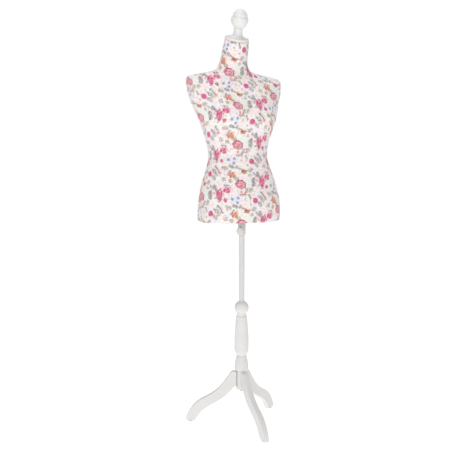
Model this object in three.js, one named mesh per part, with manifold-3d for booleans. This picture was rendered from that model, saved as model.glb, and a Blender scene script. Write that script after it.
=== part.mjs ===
import * as THREE from 'three';
import Module from 'manifold-3d';
import { mergeVertices } from 'three/addons/utils/BufferGeometryUtils.js';
import { ParametricGeometry } from 'three/addons/geometries/ParametricGeometry.js';

const wasm = await Module();
wasm.setup();

// Dress form on a turned wooden tripod. Millimetres, +Z up, the form faces -Y.
// Heights are above the floor, and x = y = 0 is the axis of the pole until the last lines.

const gap = 0.3; // clearance kept between touching pieces
const poleSetBack = 34; // how far the pole stands behind the middle of the whole object

// stand
const padHeight = 3;
const padRadius = 11;
const legAzimuths = { leg_front: -90, leg_rear_left: 150, leg_rear_right: 30 };
const legThickness = 22;
const legEdge = 3; // rounding of the leg's long edges
const footInner = 182;
const footOuter = 219;
const hubBottom = 137;
const hubTop = 212;
const hubApothem = 18.6; // middle to flat of the hexagon
const legJointTop = 206;
const legJointBottom = 147;
const legBoltHeight = 176;
const legBoltRadius = 3;
const legBoltInner = 8; // the bolt's two ends, out from the pole axis
const legBoltOuter = 41;
const insertRadius = 4.6;
const insertLength = 11;
const rodRadius = 3;
const pillarTop = 482;
const poleSocketFloor = 425;

// pole
const poleRadius = 11;
const poleWall = 1.2;
const poleTop = 902;
const tubeInner = 11.5;
const tubeOuter = 12.7;
const tubeBottom = 752;
const tubeTop = 1176;
const tubePlugTop = 1179;
const collarBottom = 738;
const collarTop = 792;
const collarRadius = 14.4;
const knobHeight = 755.5;
const knobAzimuth = -131;
const knobRadius = 14;
const knobInner = 19.5; // pole axis to the knob's near face
const knobOuter = 28.5;
const lockScrewRadius = 3;
const lockNutRadius = 4.6;

// form
const coverThickness = 1.2;
const coreWall = 8;
const coreInset = coverThickness + gap;
const coreJoint = 1366; // the neck's foam stands on the torso's here
const armPlateHalfWidth = 182; // at its lower end, the plates lean out towards the shoulder
const armPlateBottom = 1254;
const armPlateLean = 0.06;
const bustHeight = 1179;
const bustDepth = 25;
const bustSpacing = 72;
const neckTilt = 20; // degrees, forwards
const neckTop = { y: 48.5, z: 1470 };
const flangeHeight = 3;
const boardBottom = 796;
const boardThickness = 12;
const capRadius = 46;
const capThickness = 10;
const ballRadius = 32;
const domeRadius = 27.5; // the finial's top, above its groove
const ballMiddle = 75; // above the neck, along its axis

const around = 30; // faces round the form
const finish = {
  whiteWood: { color: 0xe9e7e3, roughness: 0.38, metalness: 0 },
  plainWood: { color: 0xcaa77a, roughness: 0.7, metalness: 0 },
  poleEnamel: { color: 0xdadada, roughness: 0.35, metalness: 0.2 },
  plastic: { color: 0xcfcdca, roughness: 0.45, metalness: 0 },
  darkPlastic: { color: 0x3a3a3c, roughness: 0.55, metalness: 0 },
  steel: { color: 0xa8aaad, roughness: 0.35, metalness: 1 },
  felt: { color: 0xe3e1dc, roughness: 0.95, metalness: 0 },
  foam: { color: 0xf4f4f2, roughness: 0.9, metalness: 0 },
  fabric: { color: 0xf3ebe8, roughness: 0.85, metalness: 0 },
};

const radians = THREE.MathUtils.degToRad;
const object = new THREE.Group();

function addMesh(parent, name, geometry, look) {
  const mesh = new THREE.Mesh(geometry, new THREE.MeshStandardMaterial(look));
  mesh.name = name;
  parent.add(mesh);
  return mesh;
}

// ---- shapes

// profile is a list of [radius, height]; it is turned about the Z axis
function turned(profile, sides = 24) {
  const points = profile.map(([radius, height]) => new THREE.Vector2(radius, height));
  if (profile[0][0] > 0) {
    points.push(points[0].clone());
  }
  const geometry = new THREE.LatheGeometry(points, sides);
  geometry.rotateX(Math.PI / 2);
  return geometry;
}

function ring(inner, outer, bottom, top, sides = 24) {
  return turned([[inner, bottom], [outer, bottom], [outer, top], [inner, top]], sides);
}

function rod(radius, bottom, top, sides = 16) {
  return turned([[0, bottom], [radius, bottom], [radius, top], [0, top]], sides);
}

// a smooth profile through a few points, as [radius, height] pairs
function curved(points, steps) {
  const spline = new THREE.SplineCurve(points.map(([radius, height]) => new THREE.Vector2(radius, height)));
  return spline.getPoints(steps).map((point) => [point.x, point.y]);
}

// part of a circle about [0, height], from one angle above the horizontal to another
function arc(radius, height, from, to, steps) {
  const points = [];
  for (let i = 0; i <= steps; i += 1) {
    const angle = radians(from + ((to - from) * i) / steps);
    points.push([radius * Math.cos(angle), height + radius * Math.sin(angle)]);
  }
  return points;
}

// turns a piece made along Z so that Z points outwards at an azimuth, at a height
function layOut(geometry, azimuth, height) {
  geometry.rotateY(Math.PI / 2);
  geometry.rotateZ(radians(azimuth));
  geometry.translate(0, 0, height);
  return geometry;
}

function toSolid(geometry) {
  const bare = geometry.clone();
  bare.deleteAttribute('normal');
  bare.deleteAttribute('uv');
  const merged = mergeVertices(bare, 1e-3);
  const vertProperties = new Float32Array(merged.attributes.position.array);
  const triVerts = new Uint32Array(merged.index.array);
  return new wasm.Manifold(new wasm.Mesh({ numProp: 3, vertProperties, triVerts }));
}

function toGeometry(solid) {
  const mesh = solid.getMesh();
  const geometry = new THREE.BufferGeometry();
  geometry.setAttribute('position', new THREE.BufferAttribute(mesh.vertProperties, 3));
  geometry.setIndex(new THREE.BufferAttribute(mesh.triVerts, 1));
  return geometry;
}

function cut(geometry, ...tools) {
  return toGeometry(tools.reduce((solid, tool) => solid.subtract(toSolid(tool)), toSolid(geometry)));
}

function join(geometry, ...others) {
  return toGeometry(others.reduce((solid, other) => solid.add(toSolid(other)), toSolid(geometry)));
}

function extruded(shape, depth, bevel = 0, segments = 0) {
  return new THREE.ExtrudeGeometry(shape, {
    depth: depth - 2 * bevel,
    curveSegments: 3,
    bevelEnabled: bevel > 0,
    bevelSize: bevel,
    bevelOffset: -bevel,
    bevelThickness: bevel,
    bevelSegments: segments,
  });
}

// ---- stand

function legShape() {
  const inner = hubApothem + gap;
  const sole = padHeight + gap;
  const shape = new THREE.Shape();
  const underside = [[46, 123.5], [73, 98], [105, 77.5], [138, 56.5], [164, 32], [footInner, sole]];
  const back = [[214, 26], [194, 60], [167, 85], [125, 109.5], [92, 135.5], [63, 172], [44, 199]];
  shape.moveTo(inner, legJointBottom);
  shape.lineTo(26, legJointBottom);
  shape.splineThru(underside.map(([x, y]) => new THREE.Vector2(x, y)));
  shape.lineTo(footOuter, sole);
  shape.splineThru(back.map(([x, y]) => new THREE.Vector2(x, y)));
  shape.quadraticCurveTo(38, legJointTop, 30, legJointTop);
  shape.lineTo(inner, legJointTop);
  return shape;
}

function addLeg(name, azimuth) {
  const leg = extruded(legShape(), legThickness, legEdge, 1);
  leg.translate(0, 0, legEdge - legThickness / 2);
  leg.rotateX(Math.PI / 2); // the profile stands up in the XZ plane
  leg.rotateZ(radians(azimuth));
  const hole = rod(legBoltRadius + gap, legBoltInner + 2, legBoltOuter + gap);
  const drilled = cut(leg, layOut(hole, azimuth, legBoltHeight));
  addMesh(object, name, drilled, finish.whiteWood);

  const bolt = rod(legBoltRadius, legBoltInner, legBoltOuter);
  addMesh(object, `${name}_bolt`, layOut(bolt, azimuth, legBoltHeight), finish.steel);
  const insert = ring(legBoltRadius + gap, insertRadius, hubApothem - insertLength, hubApothem - gap, 12);
  addMesh(object, `${name}_insert`, layOut(insert, azimuth, legBoltHeight), finish.steel);

  const footMiddle = (footInner + footOuter) / 2;
  const pad = rod(padRadius, 0, padHeight);
  pad.rotateZ(radians(azimuth));
  const padMesh = addMesh(object, `${name}_pad`, pad, finish.felt);
  padMesh.position.set(footMiddle * Math.cos(radians(azimuth)), footMiddle * Math.sin(radians(azimuth)), 0);
}

function addHub() {
  const corner = hubApothem / Math.cos(Math.PI / 6);
  const edge = 2;
  const outline = [[0, hubBottom], [corner - edge, hubBottom], [corner, hubBottom + edge]];
  outline.push([corner, hubTop - gap], [0, hubTop - gap]);
  const block = turned(outline, 6);
  block.rotateZ(Math.PI / 6); // its flats face the three legs and the spaces between them
  const bores = [rod(rodRadius + gap, hubBottom - 1, hubTop + 1)];
  for (const azimuth of Object.values(legAzimuths)) {
    const pocket = rod(insertRadius + gap, hubApothem - insertLength - gap, hubApothem + 1, 12);
    bores.push(layOut(pocket, azimuth, legBoltHeight));
  }
  addMesh(object, 'hub', cut(block, ...bores), finish.whiteWood);
}

function addTieRod() {
  const washerTop = hubBottom - gap;
  const washerThickness = 1.6;
  const washerRadius = 9;
  const nutCorner = 5.8;
  const nutThickness = 5;
  const rodTop = 446;
  const washerBottom = washerTop - washerThickness;
  const nutTop = washerBottom - gap;
  const nutBottom = nutTop - nutThickness;
  addMesh(object, 'tie_rod', rod(rodRadius, nutBottom - 3, rodTop), finish.steel);
  addMesh(object, 'tie_washer', ring(rodRadius + gap, washerRadius, washerBottom, washerTop), finish.steel);
  const nut = cut(rod(nutCorner, nutBottom, nutTop, 6), rod(rodRadius + gap, nutBottom - 1, nutTop + 1));
  addMesh(object, 'tie_nut', nut, finish.steel);
}

function addPillar() {
  const foot = [[rodRadius + gap, hubTop], [24.5, hubTop], [26.6, 214.5], [27, 218], [27, 229]];
  const lowerCove = curved([[26.6, 236], [24.6, 247], [21.6, 258], [20.6, 266]], 5);
  const shaft = [[17.8, 268.5], [19.5, 273], [26.4, 287], [27.6, 293], [27.6, 330]];
  const vase = curved([[27.1, 350], [25.3, 371], [24.2, 393], [22.2, 410], [21.4, 423]], 7);
  const ball = arc(27.6, 457, -48, 63, 9);
  const lip = poleRadius + gap;
  const socket = [[lip, pillarTop], [lip, poleSocketFloor], [rodRadius + gap, poleSocketFloor]];
  const profile = [...foot, ...lowerCove, ...shaft, ...vase, [18.2, 426], ...ball, ...socket];
  addMesh(object, 'pillar', turned(profile, 20), finish.whiteWood);
}

function addLowerPole() {
  const inner = poleRadius - poleWall;
  const bottom = poleSocketFloor + gap;
  addMesh(object, 'lower_pole', ring(inner, poleRadius, bottom, poleTop), finish.poleEnamel);
  const endNutLength = 18;
  const endNut = ring(rodRadius + gap, inner - gap, bottom, bottom + endNutLength);
  addMesh(object, 'pole_end_nut', endNut, finish.steel);
  const head = tubeInner - gap;
  const guideBottom = poleTop - 16;
  const guideTop = poleTop + 5;
  const guide = [[0, guideBottom], [inner - gap, guideBottom], [inner - gap, poleTop + gap]];
  guide.push([head, poleTop + gap], [head, guideTop], [0, guideTop]);
  addMesh(object, 'pole_guide', turned(guide), finish.darkPlastic);
}

// ---- sliding mast

function addMast() {
  addMesh(object, 'upper_tube', ring(tubeInner, tubeOuter, tubeBottom, tubeTop), finish.poleEnamel);
  const plugInner = tubeInner - gap;
  const plugBottom = tubeTop - 14;
  const plug = [[0, plugBottom], [plugInner, plugBottom], [plugInner, tubeTop + gap]];
  plug.push([tubeOuter, tubeTop + gap], [tubeOuter, tubePlugTop], [0, tubePlugTop]);
  addMesh(object, 'upper_tube_plug', turned(plug), finish.darkPlastic);

  const bore = poleRadius + gap;
  const seat = tubeOuter + gap;
  const chamfer = 2;
  const profile = [[bore, collarBottom], [collarRadius - chamfer, collarBottom]];
  profile.push([collarRadius, collarBottom + 2 * chamfer], [collarRadius, collarTop]);
  profile.push([seat, collarTop], [seat, tubeBottom - gap], [bore, tubeBottom - gap]);
  const bossRadius = 7;
  const boss = layOut(rod(bossRadius, tubeOuter, knobInner - 1), knobAzimuth, knobHeight);
  const boreTool = rod(seat, tubeBottom - gap, collarTop + 1, 24);
  const nutPocket = layOut(rod(lockNutRadius + gap, bore - 5, knobInner + 1, 12), knobAzimuth, knobHeight);
  addMesh(object, 'lock_collar', cut(join(turned(profile), boss), boreTool, nutPocket), finish.plastic);

  const tube = object.getObjectByName('upper_tube');
  tube.geometry = cut(tube.geometry, nutPocket);
  const nut = ring(lockScrewRadius + gap, lockNutRadius, poleRadius + 2.4, knobInner - 1.5, 12);
  addMesh(object, 'lock_nut', layOut(nut, knobAzimuth, knobHeight), finish.steel);
}

function addLock() {
  const padNear = poleRadius + 0.1;
  const padFar = poleRadius + 1.6;
  const pad = rod(2.6, padNear, padFar, 12);
  addMesh(object, 'lock_pad', layOut(pad, knobAzimuth, knobHeight), finish.darkPlastic);
  const knobFace = 2; // thickness of the knob over the screw's end
  const screw = rod(lockScrewRadius, padFar + gap, knobOuter - knobFace - 1);
  addMesh(object, 'lock_screw', layOut(screw, knobAzimuth, knobHeight), finish.steel);

  const edge = 1.6;
  const neck = 7.5;
  const bore = lockScrewRadius + gap;
  const profile = [[bore, knobInner], [neck, knobInner], [neck, knobInner + 1]];
  profile.push([knobRadius - edge, knobInner + 1], [knobRadius, knobInner + 1 + edge]);
  profile.push([knobRadius, knobOuter - edge], [knobRadius - edge, knobOuter], [0, knobOuter]);
  profile.push([0, knobOuter - knobFace], [bore, knobOuter - knobFace]);
  addMesh(object, 'lock_knob', layOut(turned(profile, 20), knobAzimuth, knobHeight), finish.plastic);
}

// ---- form

// level by level: height, half width, half depth, middle behind the pole, forward tilt, squareness
const levels = [
  [792, 160, 108, 27, 0, 2.25],
  [800, 162.5, 110.5, 27, 0, 2.25],
  [835, 163, 114, 26, 0, 2.25],
  [875, 158.5, 112, 25, 0, 2.25],
  [940, 143, 101, 29, 0, 2.25],
  [1000, 122, 92, 34, 0, 2.25],
  [1041, 113.5, 87.5, 38, 0, 2.25],
  [1090, 122, 87.5, 41, 0, 2.25],
  [1140, 139, 92, 41, 0, 2.25],
  [1190, 157, 97, 45, 0, 2.3],
  [1240, 175, 90, 62, 0, 2.4],
  [1290, 193, 77, 70, 0, 2.5],
  [1318, 197, 66, 73, 1, 2.5],
  [1332, 188, 56, 75, 3, 2.4],
  [1341, 160, 50, 77, 5, 2.2],
  [1350, 112, 50, 79, 8, 2.1],
  [1362, 72, 53, 80, 12, 2],
  [1382, 56.5, 52, 79, 16, 2],
  [1410, 51.5, 50.5, 72, 19, 2],
  [1440, 49, 48.5, 60, neckTilt, 2],
  [neckTop.z, 46.5, 46.5, neckTop.y, neckTilt, 2],
];
const formLevels = new THREE.CubicInterpolant(levels.map((_, i) => i), levels.flat(), levels[0].length);

function swell(x, height) {
  const above = height > bustHeight ? 58 : 40;
  const sideways = (Math.abs(x) - bustSpacing) / 52;
  const upwards = (height - bustHeight) / above;
  return bustDepth * Math.exp(-(sideways ** 2) - upwards ** 2);
}

// a point of the form's surface, inset by a wall, at a place between two levels and a direction round it
function formPoint(level, turn, inset, target) {
  const [height, halfWidth, halfDepth, middle, tilt, squareness] = formLevels.evaluate(level);
  const angle = (turn % 1) * 2 * Math.PI;
  const cosine = Math.cos(angle);
  const sine = Math.sin(angle);
  const reach = (Math.abs(cosine) ** squareness + Math.abs(sine) ** squareness) ** (-1 / squareness);
  const armPlate = armPlateHalfWidth + armPlateLean * (height - armPlateBottom) - inset;
  const x = THREE.MathUtils.clamp((halfWidth - inset) * reach * cosine, -armPlate, armPlate);
  const frontShare = THREE.MathUtils.smoothstep(-sine, 0, 0.3);
  const depth = (halfDepth - inset) * reach * sine - swell(x, height) * frontShare;
  const lowered = inset * THREE.MathUtils.smoothstep(height, 1290, 1335);
  const lean = radians(tilt);
  target.set(x, middle + depth * Math.cos(lean), height - lowered + depth * Math.sin(lean));
  return target;
}

// the faces of the inside are split along the same diagonals as the outside's, so that two walls nest
function splitLikeOutside(index, firstInsideCell) {
  for (let i = 6 * firstInsideCell; i < index.length; i += 6) {
    const [a, b, d, , c] = index.slice(i, i + 5);
    index.set([a, b, c, a, c, d], i);
  }
}

// a closed wall between two insets, open at the bottom and at the neck
function formWall(outerInset, innerInset) {
  const rows = levels.flatMap((_, i) => (i > 2 && i < 11 ? [i, i + 0.5] : [i]));
  const count = rows.length;
  const surface = (u, v, target) => {
    const along = Math.round(v * 2 * count) % (2 * count); // up the outside, down the inside
    const outside = along < count;
    const level = rows[outside ? along : 2 * count - 1 - along];
    formPoint(level, u, outside ? outerInset : innerInset, target);
  };
  const wall = new ParametricGeometry(surface, around, 2 * count);
  splitLikeOutside(wall.index.array, around * (count - 1));
  return wall;
}

// the outline of a board that fits inside the form at a level
function boardShape(level, inset) {
  const points = [];
  const point = new THREE.Vector3();
  for (let i = 0; i < around; i += 1) {
    formPoint(level, i / around, inset, point);
    points.push(new THREE.Vector2(point.x, point.y));
  }
  return new THREE.Shape(points);
}

function addBaseBoard() {
  const sleeveWall = 2.4;
  const flangeRadius = 34;
  const screwCircle = 25;
  const screwRadius = 1.7;
  const screwHead = 3.8;
  const sleeveInner = tubeOuter + gap;
  const sleeveOuter = sleeveInner + sleeveWall;
  const sleeveTop = tubePlugTop + gap;
  const lidTop = sleeveTop + 3;
  const flangeBottom = collarTop + gap;
  const flangeTop = flangeBottom + flangeHeight;
  const screwTip = flangeBottom + 13;

  const drills = [];
  for (let i = 0; i < 4; i += 1) {
    const angle = Math.PI / 4 + (i * Math.PI) / 2;
    const place = [screwCircle * Math.cos(angle), screwCircle * Math.sin(angle), 0];
    const screw = [[0, flangeBottom - 2], [screwHead - 0.4, flangeBottom - 2], [screwHead, flangeBottom - gap]];
    screw.push([screwRadius, flangeBottom - gap], [screwRadius, screwTip - 2], [0, screwTip]);
    const screwMesh = addMesh(object, `flange_screw_${i + 1}`, turned(screw, 12), finish.steel);
    screwMesh.position.set(...place);
    const drill = rod(screwRadius + gap, flangeBottom - 1, screwTip + gap, 12);
    drill.translate(...place);
    drills.push(drill);
  }

  const shape = boardShape(0, coreInset + coreWall + gap);
  const board = new THREE.ExtrudeGeometry(shape, { depth: boardThickness, bevelEnabled: false });
  board.translate(0, 0, boardBottom);
  const sleeveHole = rod(sleeveOuter + gap, boardBottom - 1, boardBottom + boardThickness + 1, 24);
  addMesh(object, 'base_board', cut(board, sleeveHole, ...drills), finish.plainWood);

  const sleeve = [[sleeveInner, flangeBottom], [flangeRadius, flangeBottom], [flangeRadius, flangeTop]];
  sleeve.push([sleeveOuter, flangeTop], [sleeveOuter, lidTop], [0, lidTop]);
  sleeve.push([0, sleeveTop], [sleeveInner, sleeveTop]);
  addMesh(object, 'socket_sleeve', cut(turned(sleeve), ...drills), finish.darkPlastic);
}

function addForm() {
  const room = 800; // wider and taller than either core
  const core = formWall(coreInset, coreInset + coreWall);
  const above = new THREE.BoxGeometry(room, room, room);
  above.translate(0, 0, coreJoint + room / 2);
  const below = new THREE.BoxGeometry(room, room, room);
  below.translate(0, 0, coreJoint + gap - room / 2);
  addMesh(object, 'fabric_cover', formWall(0, coverThickness), finish.fabric);
  addMesh(object, 'foam_core', cut(core, above), finish.foam);
  addMesh(object, 'neck_core', cut(core, below), finish.foam);
  addBaseBoard();
}

// everything above the neck stands on a group whose Z is the neck's own axis
function addNeckPieces() {
  const neck = new THREE.Group();
  neck.position.set(0, neckTop.y, neckTop.z);
  neck.rotation.x = radians(neckTilt);
  object.add(neck);

  const screwRadius = 3;
  const screwBottom = -24;
  const screwTop = 62;
  const screwHole = rod(screwRadius + gap, screwBottom - gap, screwTop + gap);
  addMesh(neck, 'finial_screw', rod(screwRadius, screwBottom, screwTop), finish.steel);
  const plug = rod(31, -30, -11, 24);
  addMesh(neck, 'neck_plug', cut(plug, screwHole), finish.plainWood);

  const capBottom = 1.2;
  const capTop = capBottom + capThickness;
  const rim = [[0, capBottom], [capRadius - 1.5, capBottom], [capRadius, capBottom + 2]];
  rim.push([capRadius, capTop - 3], [capRadius - 2, capTop], [32, capTop + 1]);
  const stemTop = capTop + 33;
  const flare = curved([[27, capTop + 3], [20, capTop + 9], [17, capTop + 18], [16, stemTop]], 6);
  addMesh(neck, 'neck_cap', cut(turned([...rim, ...flare, [0, stemTop]], 24), screwHole), finish.whiteWood);

  const lowerBall = arc(ballRadius, ballMiddle, -60, 20, 7);
  const groove = [[domeRadius - 1.5, ballMiddle + 12.2]];
  const dome = arc(domeRadius, ballMiddle + 12.8, 3, 90, 7);
  const profile = [[0, stemTop + gap], [15.6, stemTop + gap], ...lowerBall, ...groove, ...dome];
  addMesh(neck, 'finial_ball', cut(turned(profile, 24), screwHole), finish.whiteWood);
}

// ---- assembly

addHub();
for (const [name, azimuth] of Object.entries(legAzimuths)) {
  addLeg(name, azimuth);
}
addTieRod();
addPillar();
addLowerPole();
addMast();
addLock();
addForm();
addNeckPieces();
object.position.y = poleSetBack; // the object's box is then centred on the origin

export default object;
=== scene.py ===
import math
import random

import bmesh
import bpy
from mathutils import Matrix, Vector


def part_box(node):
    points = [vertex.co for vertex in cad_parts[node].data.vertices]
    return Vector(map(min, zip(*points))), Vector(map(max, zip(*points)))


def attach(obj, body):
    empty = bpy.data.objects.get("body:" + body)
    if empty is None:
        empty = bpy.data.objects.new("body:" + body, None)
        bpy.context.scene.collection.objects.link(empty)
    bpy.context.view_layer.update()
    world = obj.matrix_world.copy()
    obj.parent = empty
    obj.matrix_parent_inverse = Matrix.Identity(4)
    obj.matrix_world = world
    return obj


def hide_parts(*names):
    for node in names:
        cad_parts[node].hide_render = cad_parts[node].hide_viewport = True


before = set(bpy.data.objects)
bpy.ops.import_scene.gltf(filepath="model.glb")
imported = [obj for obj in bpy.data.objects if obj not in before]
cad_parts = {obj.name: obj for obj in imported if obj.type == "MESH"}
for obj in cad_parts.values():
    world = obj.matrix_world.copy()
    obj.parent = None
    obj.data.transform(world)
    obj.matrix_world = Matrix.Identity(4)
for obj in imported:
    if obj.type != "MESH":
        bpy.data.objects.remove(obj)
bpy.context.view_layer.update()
mm = 0.001
scene = bpy.context.scene
poleLow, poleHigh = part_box("lower_pole")
poleY = (poleLow.y + poleHigh.y) / 2  # everything is turned or placed about this axis
print("frame loaded, pole axis at y =", round(poleY, 4))


# small helpers

def linear(hexColour):
    parts = [int(hexColour[i:i + 2], 16) / 255 for i in (1, 3, 5)]
    return [c / 12.92 if c <= 0.04045 else ((c + 0.055) / 1.055) ** 2.4 for c in parts] + [1.0]


def addNode(tree, kind, settings=None, links=None):
    # settings are the node's own properties or its input values, links its inputs' sources
    node = tree.nodes.new(kind)
    for name, value in (settings or {}).items():
        if isinstance(name, str) and hasattr(node, name):
            setattr(node, name, value)
        else:
            node.inputs[name].default_value = value
    for name, source in (links or {}).items():
        tree.links.new(source if isinstance(source, bpy.types.NodeSocket) else source.outputs[0],
                       node.inputs[name])
    return node


def newMaterial(name, shaderSettings):
    material = bpy.data.materials.new(name)
    material.use_nodes = True
    tree = material.node_tree
    tree.nodes.clear()
    shader = addNode(tree, "ShaderNodeBsdfPrincipled", shaderSettings)
    addNode(tree, "ShaderNodeOutputMaterial", {}, {"Surface": shader})
    return material, tree, shader


def dress(tree, shader, sources):
    # links sockets to the shader's inputs by name
    for name, source in sources.items():
        tree.links.new(source, shader.inputs[name])


def catmull(points, steps):
    # a smooth run through a few points, the ends included
    padded = [points[0]] + list(points) + [points[-1]]
    run = []
    for i in range(1, len(padded) - 2):
        a, b, c, d = (Vector(p) for p in padded[i - 1:i + 3])
        for k in range(steps):
            t = k / steps
            run.append(tuple(b + ((c - a) * t + (2 * a - 5 * b + 4 * c - d) * t * t
                                  + (3 * b - a - 3 * c + d) * t ** 3) / 2))
    return run + [tuple(points[-1])]


def arcRun(radius, height, start, stop, steps):
    # part of a circle round (0, height), in degrees above the horizontal
    angles = [math.radians(start + (stop - start) * i / steps) for i in range(steps + 1)]
    return [(radius * math.cos(a), height + radius * math.sin(a)) for a in angles]


def rounded(profile, amount, segments=3):
    # a (radius, height) outline with its inner corners rounded off
    run = [profile[0]]
    for before, corner, after in zip(profile, profile[1:], profile[2:]):
        b, c, a = Vector(before), Vector(corner), Vector(after)
        cut = min(amount, (b - c).length * 0.45, (a - c).length * 0.45)
        start, stop = c + (b - c).normalized() * cut, c + (a - c).normalized() * cut
        for k in range(segments + 1):
            t = k / segments
            run.append(tuple(start * (1 - t) ** 2 + c * 2 * t * (1 - t) + stop * t * t))
    return run + [profile[-1]]


def spun(profile, steps=96):
    # profile is (radius, height) in mm, turned about Z
    bm = bmesh.new()
    verts = [bm.verts.new((r * mm, 0, z * mm)) for r, z in profile]
    edges = [bm.edges.new(pair) for pair in zip(verts, verts[1:])]
    if profile[0][0] > 0:
        edges.append(bm.edges.new((verts[-1], verts[0])))
    bmesh.ops.spin(bm, geom=verts + edges, cent=(0, 0, 0), axis=(0, 0, 1), angle=math.tau,
                   steps=steps, use_merge=True)
    bmesh.ops.remove_doubles(bm, verts=bm.verts, dist=0.00001)
    bmesh.ops.recalc_face_normals(bm, faces=bm.faces)
    return bm


def finishPiece(bm, name, body, material, stands=(), place=None, sharp=35):
    # puts a bmesh into the scene as a piece that rides on a body
    bmesh.ops.transform(bm, matrix=place or Matrix.Translation((0, poleY, 0)), verts=bm.verts)
    mesh = bpy.data.meshes.new(name)
    bm.to_mesh(mesh)
    bm.free()
    mesh.shade_smooth()
    mesh.set_sharp_from_angle(angle=math.radians(sharp))
    mesh.materials.append(material)
    piece = bpy.data.objects.new(name, mesh)
    scene.collection.objects.link(piece)
    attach(piece, body)
    if stands:
        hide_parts(*stands)
    return piece


# camera, floor and light

view = {"distance": 2.66, "height": 1.05, "azimuth": -25, "down": 5.87, "left": 1.375, "lens": 56.24}


def addCamera():
    angle = math.radians(view["azimuth"])
    data = bpy.data.cameras.new("camera")
    data.lens = view["lens"]
    data.sensor_width = 36
    camera = bpy.data.objects.new("camera", data)
    camera.location = (view["distance"] * math.sin(angle), poleY - view["distance"] * math.cos(angle),
                       view["height"])
    camera.rotation_euler = (math.radians(90 - view["down"]), 0, angle + math.radians(view["left"]))
    scene.collection.objects.link(camera)
    scene.camera = camera


def addFloor():
    bm = bmesh.new()
    bmesh.ops.create_circle(bm, segments=96, radius=14, cap_ends=True)
    mesh = bpy.data.meshes.new("floor")
    bm.to_mesh(mesh)
    bm.free()
    floor = bpy.data.objects.new("floor", mesh)
    floor.location.z = -0.0005
    material, tree, shader = newMaterial("studio floor, lit white acrylic", {
        "Base Color": linear("#A9A9A8"), "Roughness": 0.9,
        "Emission Color": linear("#FFFFFF"), "Emission Strength": 0.86})
    mesh.materials.append(material)
    scene.collection.objects.link(floor)


def addLight(name, place, target, size, power, colour):
    data = bpy.data.lights.new(name, "AREA")
    data.shape = "DISK"
    data.size = size
    data.energy = power
    data.color = linear(colour)[:3]
    lamp = bpy.data.objects.new(name, data)
    lamp.location = place
    lamp.rotation_euler = (Vector(target) - Vector(place)).to_track_quat("-Z", "Y").to_euler()
    scene.collection.objects.link(lamp)


def addStudio():
    # a white tent seen behind the form, which lights it less than it shows
    world = bpy.data.worlds.new("studio")
    world.use_nodes = True
    tree = world.node_tree
    tree.nodes.clear()
    seen = addNode(tree, "ShaderNodeBackground", {"Color": linear("#FFFFFF"), "Strength": 1.0})
    lights = addNode(tree, "ShaderNodeBackground", {"Color": linear("#FBFAFF"), "Strength": 0.41})
    ray = addNode(tree, "ShaderNodeLightPath")
    tent = addNode(tree, "ShaderNodeMixShader", {}, {0: ray.outputs["Is Camera Ray"], 1: lights, 2: seen})
    addNode(tree, "ShaderNodeOutputWorld", {}, {"Surface": tent})
    scene.world = world
    addLight("key softbox", (-1.5, -2.6, 1.9), (0, 0, 0.9), 1.6, 32, "#FFFEFC")
    addLight("top softbox", (-0.2, 0.2, 3.4), (0, 0, 0), 2.2, 22, "#FFFFFF")
    addLight("back softbox", (1.8, 2.2, 2.0), (0, 0, 1.0), 1.6, 10, "#F8FAFF")
    scene.view_settings.view_transform = "Standard"


addCamera()
addFloor()
addStudio()
print("camera, floor and lights done")


# plain materials

def satinWhitePaint():
    # white paint sprayed on turned beech: a satin gloss over the faint ghost of the grain
    material, tree, shader = newMaterial("satin white paint on beech",
                                         {"IOR": 1.5, "Coat Weight": 0.15, "Coat Roughness": 0.25})
    place = addNode(tree, "ShaderNodeTexCoord").outputs["Object"]
    along = addNode(tree, "ShaderNodeMapping", {"Scale": (1, 1, 0.07)}, {"Vector": place})
    grain = addNode(tree, "ShaderNodeTexNoise", {"Scale": 620, "Detail": 4, "Roughness": 0.6},
                    {"Vector": along})
    cloud = addNode(tree, "ShaderNodeTexNoise", {"Scale": 9, "Detail": 3}, {"Vector": place})
    tone = addNode(tree, "ShaderNodeMix", {"data_type": "RGBA", 6: linear("#E2E0DD"), 7: linear("#EDECEA")},
                   {0: cloud})
    shine = addNode(tree, "ShaderNodeMapRange", {"To Min": 0.34, "To Max": 0.46}, {"Value": cloud})
    # spray texture, about 1 mm
    peel = addNode(tree, "ShaderNodeTexNoise", {"Scale": 900, "Detail": 2}, {"Vector": place})
    ghost = addNode(tree, "ShaderNodeBump", {"Strength": 0.22, "Distance": 0.00012}, {"Height": grain})
    bump = addNode(tree, "ShaderNodeBump", {"Strength": 0.12, "Distance": 0.0001},
                   {"Height": peel, "Normal": ghost})
    dress(tree, shader, {
        "Base Color": tone.outputs[2], "Roughness": shine.outputs[0], "Normal": bump.outputs[0]})
    return material


def tubeEnamel():
    # baked grey-white enamel on steel tube: smooth, with long faint rub marks from the sliding collar
    material, tree, shader = newMaterial("grey-white tube enamel",
                                         {"IOR": 1.52, "Coat Weight": 0.3, "Coat Roughness": 0.12})
    place = addNode(tree, "ShaderNodeTexCoord").outputs["Object"]
    along = addNode(tree, "ShaderNodeMapping", {"Scale": (1, 1, 0.012)}, {"Vector": place})
    rubs = addNode(tree, "ShaderNodeTexNoise", {"Scale": 700, "Detail": 5, "Roughness": 0.65},
                   {"Vector": along})
    tone = addNode(tree, "ShaderNodeMix", {"data_type": "RGBA", 6: linear("#D2D3D3"), 7: linear("#E0E0DF")},
                   {0: rubs})
    shine = addNode(tree, "ShaderNodeMapRange", {"To Min": 0.24, "To Max": 0.4}, {"Value": rubs})
    peel = addNode(tree, "ShaderNodeTexNoise", {"Scale": 420, "Detail": 1}, {"Vector": place})
    bump = addNode(tree, "ShaderNodeBump", {"Strength": 0.08, "Distance": 0.0001}, {"Height": peel})
    dress(tree, shader, {
        "Base Color": tone.outputs[2], "Roughness": shine.outputs[0], "Normal": bump.outputs[0]})
    return material


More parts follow.
